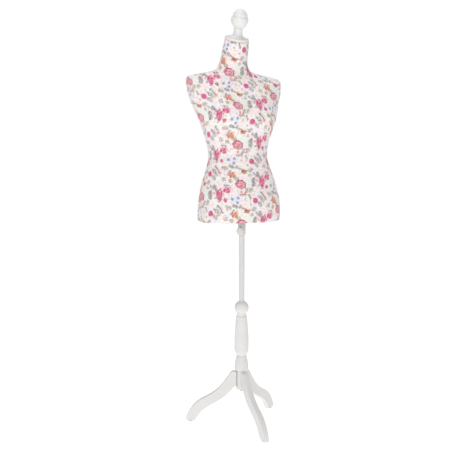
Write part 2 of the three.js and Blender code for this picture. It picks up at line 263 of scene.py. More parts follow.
def mouldedPlastic(name, dark, light, roughness):
    # injection-moulded plastic with a fine spark-eroded texture of about 0.4 mm
    material, tree, shader = newMaterial(name, {"IOR": 1.46})
    place = addNode(tree, "ShaderNodeTexCoord").outputs["Object"]
    spark = addNode(tree, "ShaderNodeTexNoise", {"Scale": 2400, "Detail": 2}, {"Vector": place})
    cloud = addNode(tree, "ShaderNodeTexNoise", {"Scale": 40, "Detail": 3}, {"Vector": place})
    tone = addNode(tree, "ShaderNodeMix", {"data_type": "RGBA", 6: linear(dark), 7: linear(light)},
                   {0: cloud})
    shine = addNode(tree, "ShaderNodeMapRange", {"To Min": roughness - 0.06, "To Max": roughness + 0.06},
                    {"Value": cloud})
    bump = addNode(tree, "ShaderNodeBump", {"Strength": 0.25, "Distance": 0.00008}, {"Height": spark})
    dress(tree, shader, {
        "Base Color": tone.outputs[2], "Roughness": shine.outputs[0], "Normal": bump.outputs[0]})
    return material


def zincSteel():
    # zinc-plated steel: pale grey with the patchy dullness of the plating
    material, tree, shader = newMaterial("zinc-plated steel", {"Metallic": 1.0})
    place = addNode(tree, "ShaderNodeTexCoord").outputs["Object"]
    patch = addNode(tree, "ShaderNodeTexNoise", {"Scale": 260, "Detail": 4}, {"Vector": place})
    tone = addNode(tree, "ShaderNodeMix", {"data_type": "RGBA", 6: linear("#9C9FA3"), 7: linear("#C2C5C8")},
                   {0: patch})
    shine = addNode(tree, "ShaderNodeMapRange", {"To Min": 0.25, "To Max": 0.45}, {"Value": patch})
    dress(tree, shader, {"Base Color": tone.outputs[2], "Roughness": shine.outputs[0]})
    return material


def birchPlywood():
    # bare birch plywood: pale, with long dark grain flecks on the face
    material, tree, shader = newMaterial("bare birch plywood", {"IOR": 1.5, "Roughness": 0.72})
    place = addNode(tree, "ShaderNodeTexCoord").outputs["Object"]
    along = addNode(tree, "ShaderNodeMapping", {"Scale": (0.08, 1, 1)}, {"Vector": place})
    grain = addNode(tree, "ShaderNodeTexNoise", {"Scale": 260, "Detail": 6, "Roughness": 0.7},
                    {"Vector": along})
    tone = addNode(tree, "ShaderNodeValToRGB", {}, {"Fac": grain})
    tone.color_ramp.elements[0].position = 0.35
    tone.color_ramp.elements[0].color = linear("#A98257")
    tone.color_ramp.elements[1].position = 0.6
    tone.color_ramp.elements[1].color = linear("#DDBD90")
    bump = addNode(tree, "ShaderNodeBump", {"Strength": 0.35, "Distance": 0.0002}, {"Height": grain})
    dress(tree, shader, {"Base Color": tone.outputs[0], "Normal": bump.outputs[0]})
    return material


def pressedFelt():
    # pressed wool felt: dead matt, fibres of about 0.5 mm
    material, tree, shader = newMaterial("pressed white felt",
                                         {"Roughness": 0.97, "Sheen Weight": 0.3, "Sheen Roughness": 0.5})
    place = addNode(tree, "ShaderNodeTexCoord").outputs["Object"]
    fibres = addNode(tree, "ShaderNodeTexNoise", {"Scale": 1800, "Detail": 5, "Roughness": 0.75},
                     {"Vector": place})
    tone = addNode(tree, "ShaderNodeMix", {"data_type": "RGBA", 6: linear("#C9C6BF"), 7: linear("#F0EEE9")},
                   {0: fibres})
    bump = addNode(tree, "ShaderNodeBump", {"Strength": 0.8, "Distance": 0.0004}, {"Height": fibres})
    dress(tree, shader, {"Base Color": tone.outputs[2], "Normal": bump.outputs[0]})
    return material


whitePaint = satinWhitePaint()
enamel = tubeEnamel()
greyPlastic = mouldedPlastic("moulded grey-white ABS", "#D2D1CF", "#DDDCDA", 0.42)
darkPlastic = mouldedPlastic("moulded dark nylon", "#303133", "#434447", 0.5)
zinc = zincSteel()
plywood = birchPlywood()
felt = pressedFelt()


# in mm, apart from the counts: columns round the form, rows between two of its levels
torsoCover = {
    "around": 200, "rowsPerLevel": 6, "thickness": 1.0,
    "unevenness": 0.35,  # how far the foam under the cloth swells and sinks
    "backShift": 97,  # the back panel's print starts this much further across than the front's
    "printShift": (-38, -2.5),  # from the front's middle line and the hem to the middle of a full rose
}


# printed cotton: the motifs of the print, each drawn about its own middle in a unit circle

def startGroup(name, vectors=(), colours=(), numbers=()):
    # a node group with its inputs, and the node that gives them
    tree = bpy.data.node_groups.new(name, "ShaderNodeTree")
    for kind, names in (("Vector", vectors), ("Color", colours), ("Float", numbers)):
        for one in names:
            tree.interface.new_socket(one, in_out="INPUT", socket_type="NodeSocket" + kind)
    return tree, addNode(tree, "NodeGroupInput")


def endMotif(tree, colour, cover):
    tree.interface.new_socket("Colour", in_out="OUTPUT", socket_type="NodeSocketColor")
    tree.interface.new_socket("Cover", in_out="OUTPUT", socket_type="NodeSocketFloat")
    addNode(tree, "NodeGroupOutput", {}, {"Colour": colour, "Cover": cover})
    return tree


def roseMotif():
    # a full rose: petals wind inwards, with a deep line along the outer ones and a ragged edge
    tree, given = startGroup("rose motif", ["Place"], ["Petal", "Line"])
    place = given.outputs["Place"]
    reach = addNode(tree, "ShaderNodeVectorMath", {"operation": "LENGTH"}, {0: place}).outputs["Value"]
    turn = addNode(tree, "ShaderNodeTexGradient", {"gradient_type": "RADIAL"}, {"Vector": place}).outputs[1]
    wobble = addNode(tree, "ShaderNodeTexNoise", {"Scale": 2.3, "Detail": 2}, {"Vector": place}).outputs[0]
    wound = addNode(tree, "ShaderNodeMath", {"operation": "MULTIPLY_ADD", 1: 1.7}, {0: reach, 2: turn})
    uneven = addNode(tree, "ShaderNodeMath", {"operation": "MULTIPLY_ADD", 1: 2.2}, {0: wobble, 2: wound})
    ring = addNode(tree, "ShaderNodeMath", {"operation": "FRACT"}, {0: uneven})
    petals = addNode(tree, "ShaderNodeValToRGB", {}, {"Fac": ring})
    ramp = petals.color_ramp
    ramp.elements[0].color = (0.75, 0.75, 0.75, 1)
    ramp.elements[1].color = (0.6, 0.6, 0.6, 1)
    for position, value in ((0.15, 0.8), (0.3, 0.3), (0.6, 0.06), (0.86, 0.3)):
        ramp.elements.new(position).color = (value, value, value, 1)
    lobes = addNode(tree, "ShaderNodeMath", {"operation": "MULTIPLY", 1: 7 * math.tau}, {0: turn})
    wave = addNode(tree, "ShaderNodeMath", {"operation": "COSINE"}, {0: lobes})
    rim = addNode(tree, "ShaderNodeMath", {"operation": "MULTIPLY_ADD", 1: 0.06, 2: 0.7}, {0: wave})
    ragged = addNode(tree, "ShaderNodeMath", {"operation": "MULTIPLY_ADD", 1: 0.36}, {0: wobble, 2: rim})
    inside = addNode(tree, "ShaderNodeMath", {"operation": "SUBTRACT"}, {0: ragged, 1: reach})
    cover = addNode(tree, "ShaderNodeMapRange", {"From Min": 0.0, "From Max": 0.05}, {"Value": inside})
    edge = addNode(tree, "ShaderNodeMapRange",
                   {"From Min": 0.15, "From Max": 0.27, "To Min": 1, "To Max": 0},
                   {"Value": inside})
    side = addNode(tree, "ShaderNodeVectorMath", {"operation": "DOT_PRODUCT", 1: (0.5, 0.8, 0)}, {0: place})
    shaded = addNode(tree, "ShaderNodeMapRange", {"From Min": -0.8, "From Max": 0.3, "To Min": 0.4},
                     {"Value": side.outputs["Value"]})
    deep = addNode(tree, "ShaderNodeMath", {"operation": "MULTIPLY"}, {0: edge, 1: shaded})
    lines = addNode(tree, "ShaderNodeMath", {"operation": "MAXIMUM"}, {0: petals.outputs[0], 1: deep})
    colour = addNode(tree, "ShaderNodeMix", {"data_type": "RGBA"}, {
        0: lines, 6: given.outputs["Petal"], 7: given.outputs["Line"]})
    return endMotif(tree, colour.outputs[2], cover)


def carnationMotif():
    # carnations seen from the side: ragged petals, some pale and some deep, with the cloth between them
    tree, given = startGroup("carnation motif", ["Place"], ["Petal", "Line"])
    place = given.outputs["Place"]
    fray = addNode(tree, "ShaderNodeTexNoise", {"Scale": 2.6, "Detail": 3, "Roughness": 0.7},
                   {"Vector": place})
    frayed = addNode(tree, "ShaderNodeVectorMath", {"operation": "MULTIPLY_ADD", 1: (0.9, 0.9, 0.9)},
                     {0: fray.outputs[1], 2: place})
    reach = addNode(tree, "ShaderNodeVectorMath", {"operation": "DISTANCE", 1: (0.45, 0.45, 0.45)},
                    {0: frayed})
    petals = addNode(tree, "ShaderNodeTexVoronoi", {"Scale": 3.7}, {"Vector": frayed})
    within = addNode(tree, "ShaderNodeMapRange",
                     {"From Min": 0.82, "From Max": 0.9, "To Min": 1, "To Max": 0},
                     {"Value": reach.outputs["Value"]})
    gap = addNode(tree, "ShaderNodeMapRange", {"From Min": 0.3, "From Max": 0.33},
                  {"Value": petals.outputs[1]})
    cover = addNode(tree, "ShaderNodeMath", {"operation": "MULTIPLY"}, {0: within, 1: gap})
    ink = addNode(tree, "ShaderNodeMath", {"operation": "MULTIPLY_ADD", 1: 1.5},
                  {0: petals.outputs[0], 2: petals.outputs[1]})
    band = addNode(tree, "ShaderNodeMapRange", {"From Min": 0.6, "From Max": 1.1}, {"Value": ink})
    colour = addNode(tree, "ShaderNodeMix", {"data_type": "RGBA"}, {
        0: band, 6: given.outputs["Petal"], 7: given.outputs["Line"]})
    pen = addNode(tree, "ShaderNodeMapRange", {"From Min": 0.48, "From Max": 0.6, "To Max": 0.6},
                  {"Value": petals.outputs[0]})
    drawn = addNode(tree, "ShaderNodeMix", {"data_type": "RGBA", 7: linear("#B24468")}, {
        0: pen, 6: colour.outputs[2]})
    return endMotif(tree, drawn.outputs[2], cover)


def tintMotif():
    # a watery stain of colour under the drawn flowers
    tree, given = startGroup("tint motif", ["Place"], ["Petal", "Line"])
    reach = addNode(tree, "ShaderNodeVectorMath", {"operation": "LENGTH"}, {0: given.outputs["Place"]})
    bleed = addNode(tree, "ShaderNodeTexNoise", {"Scale": 1.6, "Detail": 2},
                    {"Vector": given.outputs["Place"]})
    spread = addNode(tree, "ShaderNodeMath", {"operation": "MULTIPLY_ADD", 1: 0.5},
                     {0: bleed, 2: reach.outputs["Value"]})
    cover = addNode(tree, "ShaderNodeMapRange",
                    {"From Min": 0.6, "From Max": 1.25, "To Min": 0.6, "To Max": 0},
                    {"Value": spread})
    return endMotif(tree, given.outputs["Petal"], cover)


def pompomMotif():
    # a round button flower, speckled with paler florets
    tree, given = startGroup("pompom motif", ["Place"], ["Petal", "Line"])
    reach = addNode(tree, "ShaderNodeVectorMath", {"operation": "LENGTH"},
                    {0: given.outputs["Place"]}).outputs["Value"]
    florets = addNode(tree, "ShaderNodeTexVoronoi", {"Scale": 3.2},
                      {"Vector": given.outputs["Place"]}).outputs[0]
    rim = addNode(tree, "ShaderNodeMath", {"operation": "MULTIPLY_ADD", 1: -0.16, 2: 0.98}, {0: florets})
    inside = addNode(tree, "ShaderNodeMath", {"operation": "SUBTRACT"}, {0: rim, 1: reach})
    cover = addNode(tree, "ShaderNodeMapRange", {"From Min": 0.0, "From Max": 0.08}, {"Value": inside})
    deep = addNode(tree, "ShaderNodeMapRange",
                   {"From Min": 0.12, "From Max": 0.5, "To Min": 0.25, "To Max": 1.0}, {"Value": florets})
    colour = addNode(tree, "ShaderNodeMix", {"data_type": "RGBA"},
                     {0: deep, 6: given.outputs["Petal"], 7: given.outputs["Line"]})
    return endMotif(tree, colour.outputs[2], cover)


def flowerMotif():
    # a small five-petalled flower drawn with a pen line and a dotted eye
    tree, given = startGroup("flower motif", ["Place"], ["Petal", "Line"])
    reach = addNode(tree, "ShaderNodeVectorMath", {"operation": "LENGTH"},
                    {0: given.outputs["Place"]}).outputs["Value"]
    turn = addNode(tree, "ShaderNodeTexGradient", {"gradient_type": "RADIAL"},
                   {"Vector": given.outputs["Place"]}).outputs[1]
    halves = addNode(tree, "ShaderNodeMath", {"operation": "MULTIPLY", 1: 2.5 * math.tau}, {0: turn})
    wave = addNode(tree, "ShaderNodeMath", {"operation": "COSINE"}, {0: halves})
    lobe = addNode(tree, "ShaderNodeMath", {"operation": "ABSOLUTE"}, {0: wave})
    rim = addNode(tree, "ShaderNodeMath", {"operation": "MULTIPLY_ADD", 1: 0.5, 2: 0.46}, {0: lobe})
    inside = addNode(tree, "ShaderNodeMath", {"operation": "SUBTRACT"}, {0: rim, 1: reach})
    cover = addNode(tree, "ShaderNodeMapRange", {"From Min": 0.0, "From Max": 0.06}, {"Value": inside})
    edge = addNode(tree, "ShaderNodeMapRange", {"From Min": 0.2, "From Max": 0.3, "To Min": 1, "To Max": 0},
                   {"Value": inside})
    eye = addNode(tree, "ShaderNodeMapRange",
                  {"From Min": 0.16, "From Max": 0.24, "To Min": 1, "To Max": 0}, {"Value": reach})
    lines = addNode(tree, "ShaderNodeMath", {"operation": "MAXIMUM"}, {0: edge, 1: eye})
    colour = addNode(tree, "ShaderNodeMix", {"data_type": "RGBA"},
                     {0: lines, 6: given.outputs["Petal"], 7: given.outputs["Line"]})
    return endMotif(tree, colour.outputs[2], cover)


def sprigMotif(name, pairs, slenderness, leafReach):
    # a bent stem with leaves in pairs, or bare strokes when they are slender
    tree, given = startGroup(name, ["Place"], ["Petal", "Line"])
    place = given.outputs["Place"]
    x = addNode(tree, "ShaderNodeVectorMath", {"operation": "DOT_PRODUCT", 1: (1, 0, 0)},
                {0: place}).outputs["Value"]
    y = addNode(tree, "ShaderNodeVectorMath", {"operation": "DOT_PRODUCT", 1: (0, 1, 0)},
                {0: place}).outputs["Value"]
    swing = addNode(tree, "ShaderNodeMath", {"operation": "MULTIPLY", 1: 2.6}, {0: y})
    bend = addNode(tree, "ShaderNodeMath", {"operation": "SINE"}, {0: swing})
    stemAt = addNode(tree, "ShaderNodeMath", {"operation": "MULTIPLY_ADD", 1: 0.16}, {0: bend, 2: x})
    side = addNode(tree, "ShaderNodeMath", {"operation": "ABSOLUTE"}, {0: stemAt})
    slope = addNode(tree, "ShaderNodeMath", {"operation": "MULTIPLY_ADD", 1: -0.85}, {0: side, 2: y})
    rows = addNode(tree, "ShaderNodeMath", {"operation": "MULTIPLY_ADD", 1: pairs, 2: 9.3}, {0: slope})
    cell = addNode(tree, "ShaderNodeMath", {"operation": "FRACT"}, {0: rows})
    up = addNode(tree, "ShaderNodeMath",
                 {"operation": "MULTIPLY_ADD", 1: slenderness, 2: -0.5 * slenderness}, {0: cell})
    out = addNode(tree, "ShaderNodeMath", {"operation": "MULTIPLY_ADD", 1: 0.48 / leafReach, 2: -0.5},
                  {0: side})
    leaf = addNode(tree, "ShaderNodeCombineXYZ", {}, {0: out, 1: up})
    size = addNode(tree, "ShaderNodeVectorMath", {"operation": "LENGTH"}, {0: leaf}).outputs["Value"]
    leaves = addNode(tree, "ShaderNodeMapRange",
                     {"From Min": 0.38, "From Max": 0.5, "To Min": 1, "To Max": 0}, {"Value": size})
    stem = addNode(tree, "ShaderNodeMapRange",
                   {"From Min": 0.06, "From Max": 0.11, "To Min": 1, "To Max": 0}, {"Value": side})
    both = addNode(tree, "ShaderNodeMath", {"operation": "MAXIMUM"}, {0: leaves, 1: stem})
    reach = addNode(tree, "ShaderNodeVectorMath", {"operation": "LENGTH"}, {0: place}).outputs["Value"]
    ends = addNode(tree, "ShaderNodeMapRange", {"From Min": 0.9, "From Max": 1.0, "To Min": 1, "To Max": 0},
                   {"Value": reach})
    cover = addNode(tree, "ShaderNodeMath", {"operation": "MULTIPLY"}, {0: both, 1: ends})
    heart = addNode(tree, "ShaderNodeMapRange",
                    {"From Min": 0.1, "From Max": 0.34, "To Min": 1, "To Max": 0}, {"Value": size})
    colour = addNode(tree, "ShaderNodeMix", {"data_type": "RGBA"},
                     {0: heart, 6: given.outputs["Line"], 7: given.outputs["Petal"]})
    return endMotif(tree, colour.outputs[2], cover)


def birdMotif():
    # a small perched bird: body and head, a long straight tail and a darker wing
    tree, given = startGroup("bird motif", ["Place"], ["Petal", "Line"])
    sizes = []
    shapes = (((-0.02, -0.12, 0), (1.6, 2.2, 1)), ((0.52, 0.26, 0), (3.4, 3.7, 1)),
              ((-0.55, 0.36, 0), (2.1, 6.0, 1)), ((-0.12, -0.02, 0), (2.4, 4.2, 1)))  # body, head, tail, wing
    for middle, squeeze in shapes:
        moved = addNode(tree, "ShaderNodeVectorMath", {"operation": "SUBTRACT", 1: middle},
                        {0: given.outputs["Place"]})
        scaled = addNode(tree, "ShaderNodeVectorMath", {"operation": "MULTIPLY", 1: squeeze}, {0: moved})
        sizes.append(addNode(tree, "ShaderNodeVectorMath", {"operation": "LENGTH"},
                             {0: scaled}).outputs["Value"])
    body = addNode(tree, "ShaderNodeMath", {"operation": "MINIMUM"}, {0: sizes[0], 1: sizes[1]})
    nearest = addNode(tree, "ShaderNodeMath", {"operation": "MINIMUM"}, {0: body, 1: sizes[2]})
    cover = addNode(tree, "ShaderNodeMapRange",
                    {"From Min": 0.9, "From Max": 1.04, "To Min": 1, "To Max": 0}, {"Value": nearest})
    edge = addNode(tree, "ShaderNodeMapRange",
                   {"From Min": 0.6, "From Max": 0.9, "To Min": 0, "To Max": 0.8}, {"Value": nearest})
    wing = addNode(tree, "ShaderNodeMapRange",
                   {"From Min": 0.75, "From Max": 1.0, "To Min": 0.75, "To Max": 0}, {"Value": sizes[3]})
    lines = addNode(tree, "ShaderNodeMath", {"operation": "MAXIMUM"}, {0: edge, 1: wing})
    colour = addNode(tree, "ShaderNodeMix", {"data_type": "RGBA"},
                     {0: lines, 6: given.outputs["Petal"], 7: given.outputs["Line"]})
    return endMotif(tree, colour.outputs[2], cover)


# the print steps down 47 mm in every 172 mm across, and repeats every 147 mm up the cloth
printStep = {"across": 172, "drop": 47, "up": 147}
inks = {  # petal, line
    "rose": ("#FBC6CC", "#B03C5C"), "peach": ("#FBE3CC", "#E09A6C"), "soft": ("#FAD3D9", "#D4607F"),
    "hot": ("#FCD2DB", "#E66B97"), "button": ("#F2B0C1", "#D4608A"), "coral": ("#F4AC98", "#C8514A"),
    "olive": ("#B3A878", "#7A6B49"), "slate": ("#918D92", "#504C50"), "twig": ("#8F7A70", "#4E3E38"),
    "white": ("#F8F2F0", "#5B4B50"), "brown": ("#F0DDCB", "#7C5A40"), "blue": ("#B9C3DC", "#566088"),
    "bird": ("#E0A184", "#8E4A44"), "sky": ("#E2EAF8", "#E2EAF8"), "cream": ("#FCE9D4", "#FCE9D4"),
    "mint": ("#EAF4EB", "#EAF4EB"), "blush": ("#FADFE5", "#FADFE5"), "lilac": ("#F2ECF5", "#F2ECF5"),
}
motifs = {
    # ink, across, up, half width, half height, turn, from the lowest layer of ink to the topmost
    "tint": [("sky", -24, -57, 32, 18, 0), ("cream", -26, 34, 27, 18, 10), ("mint", 34, 12, 26, 22, 0),
             ("lilac", 62, 62, 32, 22, 20), ("blush", -70, -18, 26, 20, 30)],
    "twig": [("twig", 88, -41, 13, 16, 25), ("twig", 6, -38, 11, 14, 80), ("twig", -83, -56, 11, 13, -30),
             ("twig", -38, 44, 11, 14, -40), ("twig", 62, 36, 11, 13, 35), ("twig", 32, -47, 10, 12, 10),
             ("slate", -4, 61, 9, 12, 65), ("twig", -52, -3, 10, 12, 75), ("twig", -98, 50, 11, 13, 40),
             ("slate", 78, 0, 9, 12, -60)],
    "sprig": [("olive", 36, -21, 11, 12, -70), ("olive", 72, -74, 10, 13, 35),
              ("olive", -14, 22, 10, 13, 50), ("olive", 22, -22, 9, 10, -20),
              ("olive", -52, 62, 10, 13, 70), ("olive", 46, 54, 9, 12, -60)],
    "feather": [("slate", 52, 8, 12, 19, -12), ("slate", -28, -80, 9, 12, 60),
                ("slate", -96, -14, 9, 16, 15)],
    "flower": [("white", -61, 20, 9.5, 9.5, 0), ("brown", -38, 13, 8.5, 8.5, 30),
               ("white", 77, -52, 9, 9, 10), ("white", 40, 34, 7.5, 7.5, 20),
               ("blue", -37, -54, 7, 7, 0), ("blue", -14, -50, 6.5, 6.5, 40),
               ("blue", -18, -67, 7, 7, 20), ("coral", 0, -27, 5, 5, 0), ("coral", 15, -31, 5, 5, 50),
               ("soft", -3, -39, 4.5, 4.5, 0), ("soft", 12, -57, 5, 5, 20), ("coral", -74, 44, 6, 6, 0),
               ("soft", 70, 14, 6, 6, 30), ("brown", -8, 68, 6, 6, 10), ("soft", 34, 72, 5, 5, 0),
               ("white", -88, 38, 9, 9, 45)],
    "rose": [("rose", 0, 0, 24, 20, -8)],
    "bird": [("bird", 18, 49, 18, 15, -14)],
    "carnation": [("hot", -80, -37, 16, 26, -14), ("hot", -52, -20, 18, 14, 12),
                  ("soft", -62, -58, 9, 9, 0), ("peach", -27, 36, 16, 13, 40)],
    "pompom": [("button", 53, -61, 12.5, 12.5, 0)],
}


def chooseGroup():
    # finds the nearest repeat of one place of a motif, and hands on its unit circle and its inks there
    names = ["Cloth", "Middle", "Half size", "Turn", "Place before"]
    tree, given = startGroup("motif place", names, ["Petal", "Line", "Petal before", "Line before"])
    slope = printStep["drop"] / printStep["across"]
    halfTile = Vector((printStep["across"] / 2, printStep["up"] / 2, 1))
    moved = addNode(tree, "ShaderNodeVectorMath", {"operation": "SUBTRACT"},
                    {0: given.outputs["Cloth"], 1: given.outputs["Middle"]})
    x = addNode(tree, "ShaderNodeVectorMath", {"operation": "DOT_PRODUCT", 1: (1, 0, 0)},
                {0: moved}).outputs["Value"]
    square = addNode(tree, "ShaderNodeVectorMath", {"operation": "MULTIPLY_ADD", 1: (0, -slope, 0)},
                     {0: x, 2: moved})
    tiled = addNode(tree, "ShaderNodeVectorMath", {"operation": "WRAP", 1: halfTile, 2: -halfTile},
                    {0: square})
    ownX = addNode(tree, "ShaderNodeVectorMath", {"operation": "DOT_PRODUCT", 1: (1, 0, 0)},
                   {0: tiled}).outputs["Value"]
    local = addNode(tree, "ShaderNodeVectorMath", {"operation": "MULTIPLY_ADD", 1: (0, slope, 0)},
                    {0: ownX, 2: tiled})
    placed = addNode(tree, "ShaderNodeMapping", {"vector_type": "TEXTURE"},
                     {"Vector": local, "Rotation": given.outputs["Turn"],
                      "Scale": given.outputs["Half size"]})
    reach = addNode(tree, "ShaderNodeVectorMath", {"operation": "LENGTH"}, {0: placed}).outputs["Value"]
    near = addNode(tree, "ShaderNodeMath", {"operation": "LESS_THAN", 1: 1.06}, {0: reach})
    place = addNode(tree, "ShaderNodeMix", {"data_type": "VECTOR"},
                    {0: near, 4: given.outputs["Place before"], 5: placed})
    # the cloth's coordinates pass through every place, so Cycles' small store holds one place at a time
    passed = addNode(tree, "ShaderNodeVectorMath", {"operation": "MULTIPLY_ADD", 1: (0, 0, 0)},
                     {0: place.outputs[1], 2: given.outputs["Cloth"]})
    ends = {"Place": place.outputs[1], "Next cloth": passed}
    for ink in ("Petal", "Line"):
        mixed = addNode(tree, "ShaderNodeMix", {"data_type": "RGBA"},
                        {0: near, 6: given.outputs[ink + " before"], 7: given.outputs[ink]})
        ends[ink] = mixed.outputs[2]
    for name, kind in (("Place", "Vector"), ("Petal", "Color"), ("Line", "Color"),
                       ("Next cloth", "Vector")):
        tree.interface.new_socket(name, in_out="OUTPUT", socket_type="NodeSocket" + kind)
    addNode(tree, "NodeGroupOutput", {}, ends)
    return tree


def printedCotton():
    # plain-weave cotton with a rotary-printed flower pattern, stretched over the form:
    # matt, with a soft sheen at its edges
    drawings = {"tint": tintMotif(), "rose": roseMotif(), "carnation": carnationMotif(),
                "pompom": pompomMotif(), "flower": flowerMotif(), "bird": birdMotif(),
                "sprig": sprigMotif("sprig motif", 2.3, 1.9, 0.46),
                "feather": sprigMotif("feather motif", 3.6, 1.5, 0.4),
                "twig": sprigMotif("twig motif", 2.3, 3.4, 0.34)}
    material, tree, shader = newMaterial("printed plain-weave cotton", {
        "Roughness": 0.86, "Specular IOR Level": 0.25, "Sheen Weight": 0.2, "Sheen Roughness": 0.45})
    uv = addNode(tree, "ShaderNodeUVMap", {"uv_map": "cloth"})  # millimetres on the cloth
    drift = addNode(tree, "ShaderNodeTexNoise", {"Scale": 0.11, "Detail": 2, "noise_dimensions": "2D"},
                    {"Vector": uv})
    centred = addNode(tree, "ShaderNodeVectorMath", {"operation": "SUBTRACT", 1: (0.5, 0.5, 0.5)},
                      {0: drift.outputs[1]})
    shaken = addNode(tree, "ShaderNodeVectorMath", {"operation": "MULTIPLY_ADD", 1: (5, 5, 0)},
                     {0: centred, 2: uv})
    # watery tints of 40 mm or so that bleed past the drawn lines
    bleed = addNode(tree, "ShaderNodeTexNoise", {"Scale": 0.026, "Detail": 3, "noise_dimensions": "2D"},
                    {"Vector": uv})
    tints = addNode(tree, "ShaderNodeValToRGB", {}, {"Fac": bleed.outputs[0]})
    tints.color_ramp.elements[0].position = 0.3
    tints.color_ramp.elements[0].color = linear("#EEF0F6")
    tints.color_ramp.elements[1].position = 0.7
    tints.color_ramp.elements[1].color = linear("#FAE7DA")
    for position, tint in ((0.38, "#FCF6F5"), (0.46, "#FBE4E6"), (0.52, "#FCF6F3"), (0.6, "#F1F5EC"),
                           (0.65, "#FCF7F2")):
        tints.color_ramp.elements.new(position).color = linear(tint)
    printed = tints.outputs[0]
    # pen-drawn tendrils a millimetre thick wander between the flowers
    cells = addNode(tree, "ShaderNodeTexVoronoi", {
        "feature": "DISTANCE_TO_EDGE", "Scale": 0.075, "voronoi_dimensions": "2D"}, {"Vector": shaken})
    stroke = addNode(tree, "ShaderNodeMapRange",
                     {"From Min": 0.02, "From Max": 0.06, "To Min": 1, "To Max": 0},
                     {"Value": cells})
    grown = addNode(tree, "ShaderNodeMapRange", {"From Min": 0.5, "From Max": 0.56, "To Max": 0.75},
                    {"Value": drift.outputs[0]})
    tendril = addNode(tree, "ShaderNodeMath", {"operation": "MULTIPLY"}, {0: stroke, 1: grown})
    printed = addNode(tree, "ShaderNodeMix", {"data_type": "RGBA", 7: linear("#8A7468")},
                      {0: tendril, 6: printed}).outputs[2]
    choose = chooseGroup()
    shiftAcross, shiftUp = torsoCover["printShift"]
    farOff = (9, 9, 9)  # well outside a motif's unit circle
    for kind, places in motifs.items():
        before = {}
        for ink, across, up, halfWidth, halfHeight, turn in places:
            petal, line = inks[ink]
            chosen = addNode(tree, "ShaderNodeGroup", {
                "node_tree": choose, "Middle": (across + shiftAcross, up + shiftUp, 0),
                "Half size": (halfWidth, halfHeight, 1), "Turn": (0, 0, math.radians(turn)),
                "Place before": farOff, "Petal": linear(petal), "Line": linear(line)},
                {"Cloth": shaken, **before})
            shaken = chosen.outputs["Next cloth"]
            before = {name + " before": chosen.outputs[name] for name in ("Place", "Petal", "Line")}
        drawn = addNode(tree, "ShaderNodeGroup", {"node_tree": drawings[kind]},
                        {name: chosen.outputs[name] for name in ("Place", "Petal", "Line")})
        printed = addNode(tree, "ShaderNodeMix", {"data_type": "RGBA"}, {
            0: drawn.outputs["Cover"], 6: printed, 7: drawn.outputs["Colour"]}).outputs[2]
    # threads are 0.4 mm apart on such cloth, drawn 1.2 mm apart so that the weave shows
    pitch = math.tau / (20 * 1.2)  # a wave texture turns 20 times its scale per unit
    weave = {"Scale": pitch, "Distortion": 0.6, "Detail": 1}
    warp = addNode(tree, "ShaderNodeTexWave", {"bands_direction": "X", **weave}, {"Vector": uv}).outputs[1]
    weft = addNode(tree, "ShaderNodeTexWave", {"bands_direction": "Y", **weave}, {"Vector": uv}).outputs[1]
    threads = addNode(tree, "ShaderNodeMath", {"operation": "MULTIPLY"}, {0: warp, 1: weft})
    slub = addNode(tree, "ShaderNodeTexNoise", {"Scale": 0.9, "Detail": 4, "noise_dimensions": "2D"},
                   {"Vector": uv}).outputs[0]
    # millimetres from the nearest side seam, and along it
    seamUv = addNode(tree, "ShaderNodeUVMap", {"uv_map": "seam"})
    fromSeam = addNode(tree, "ShaderNodeSeparateXYZ", {}, {0: seamUv})
    groove = addNode(tree, "ShaderNodeMapRange", {"interpolation_type": "SMOOTHSTEP", "From Max": 1.6},
                     {"Value": fromSeam.outputs[0]})
    gather = addNode(tree, "ShaderNodeTexWave", {"bands_direction": "Y", "Scale": math.tau / (20 * 9),
                                                 "Distortion": 1.5}, {"Vector": seamUv})
    fading = addNode(tree, "ShaderNodeMapRange", {"From Max": 9, "To Min": 1, "To Max": 0},
                     {"Value": fromSeam.outputs[0]})
    pucker = addNode(tree, "ShaderNodeMath", {"operation": "MULTIPLY"}, {0: gather.outputs[1], 1: fading})
    # painted shade in the seam: the print is darkened in the seam's groove, and the slubs vary its tone at
    # random
    # painted shade: down to 0.72 of the print's colour in the middle of the seam
    shade = addNode(tree, "ShaderNodeMapRange", {"To Min": 0.72, "To Max": 1.0}, {"Value": groove})
    faded = addNode(tree, "ShaderNodeMapRange", {"To Min": 0.94, "To Max": 1.04}, {"Value": slub})
    seamShadeAndSlubs = addNode(tree, "ShaderNodeMath", {"operation": "MULTIPLY"}, {0: shade, 1: faded})
    # the print with the painted seam shade and the slubs' random tone laid over it
    printWithSeamShade = addNode(tree, "ShaderNodeVectorMath", {"operation": "SCALE"}, {0: printed, "Scale": seamShadeAndSlubs})
    sunk = addNode(tree, "ShaderNodeBump", {"Strength": 0.9, "Distance": 0.001}, {"Height": groove})
    gathered = addNode(tree, "ShaderNodeBump", {"Strength": 0.5, "Distance": 0.0008},
                       {"Height": pucker, "Normal": sunk})
    coarse = addNode(tree, "ShaderNodeBump", {"Strength": 0.3, "Distance": 0.0006},
                     {"Height": slub, "Normal": gathered})
    bump = addNode(tree, "ShaderNodeBump", {"Strength": 0.5, "Distance": 0.00025},
                   {"Height": threads, "Normal": coarse})
    dress(tree, shader, {"Base Color": printWithSeamShade.outputs[0], "Normal": bump.outputs[0]})
    return material


cotton = printedCotton()
print("materials done")


# the form: cotton stretched over a foam core

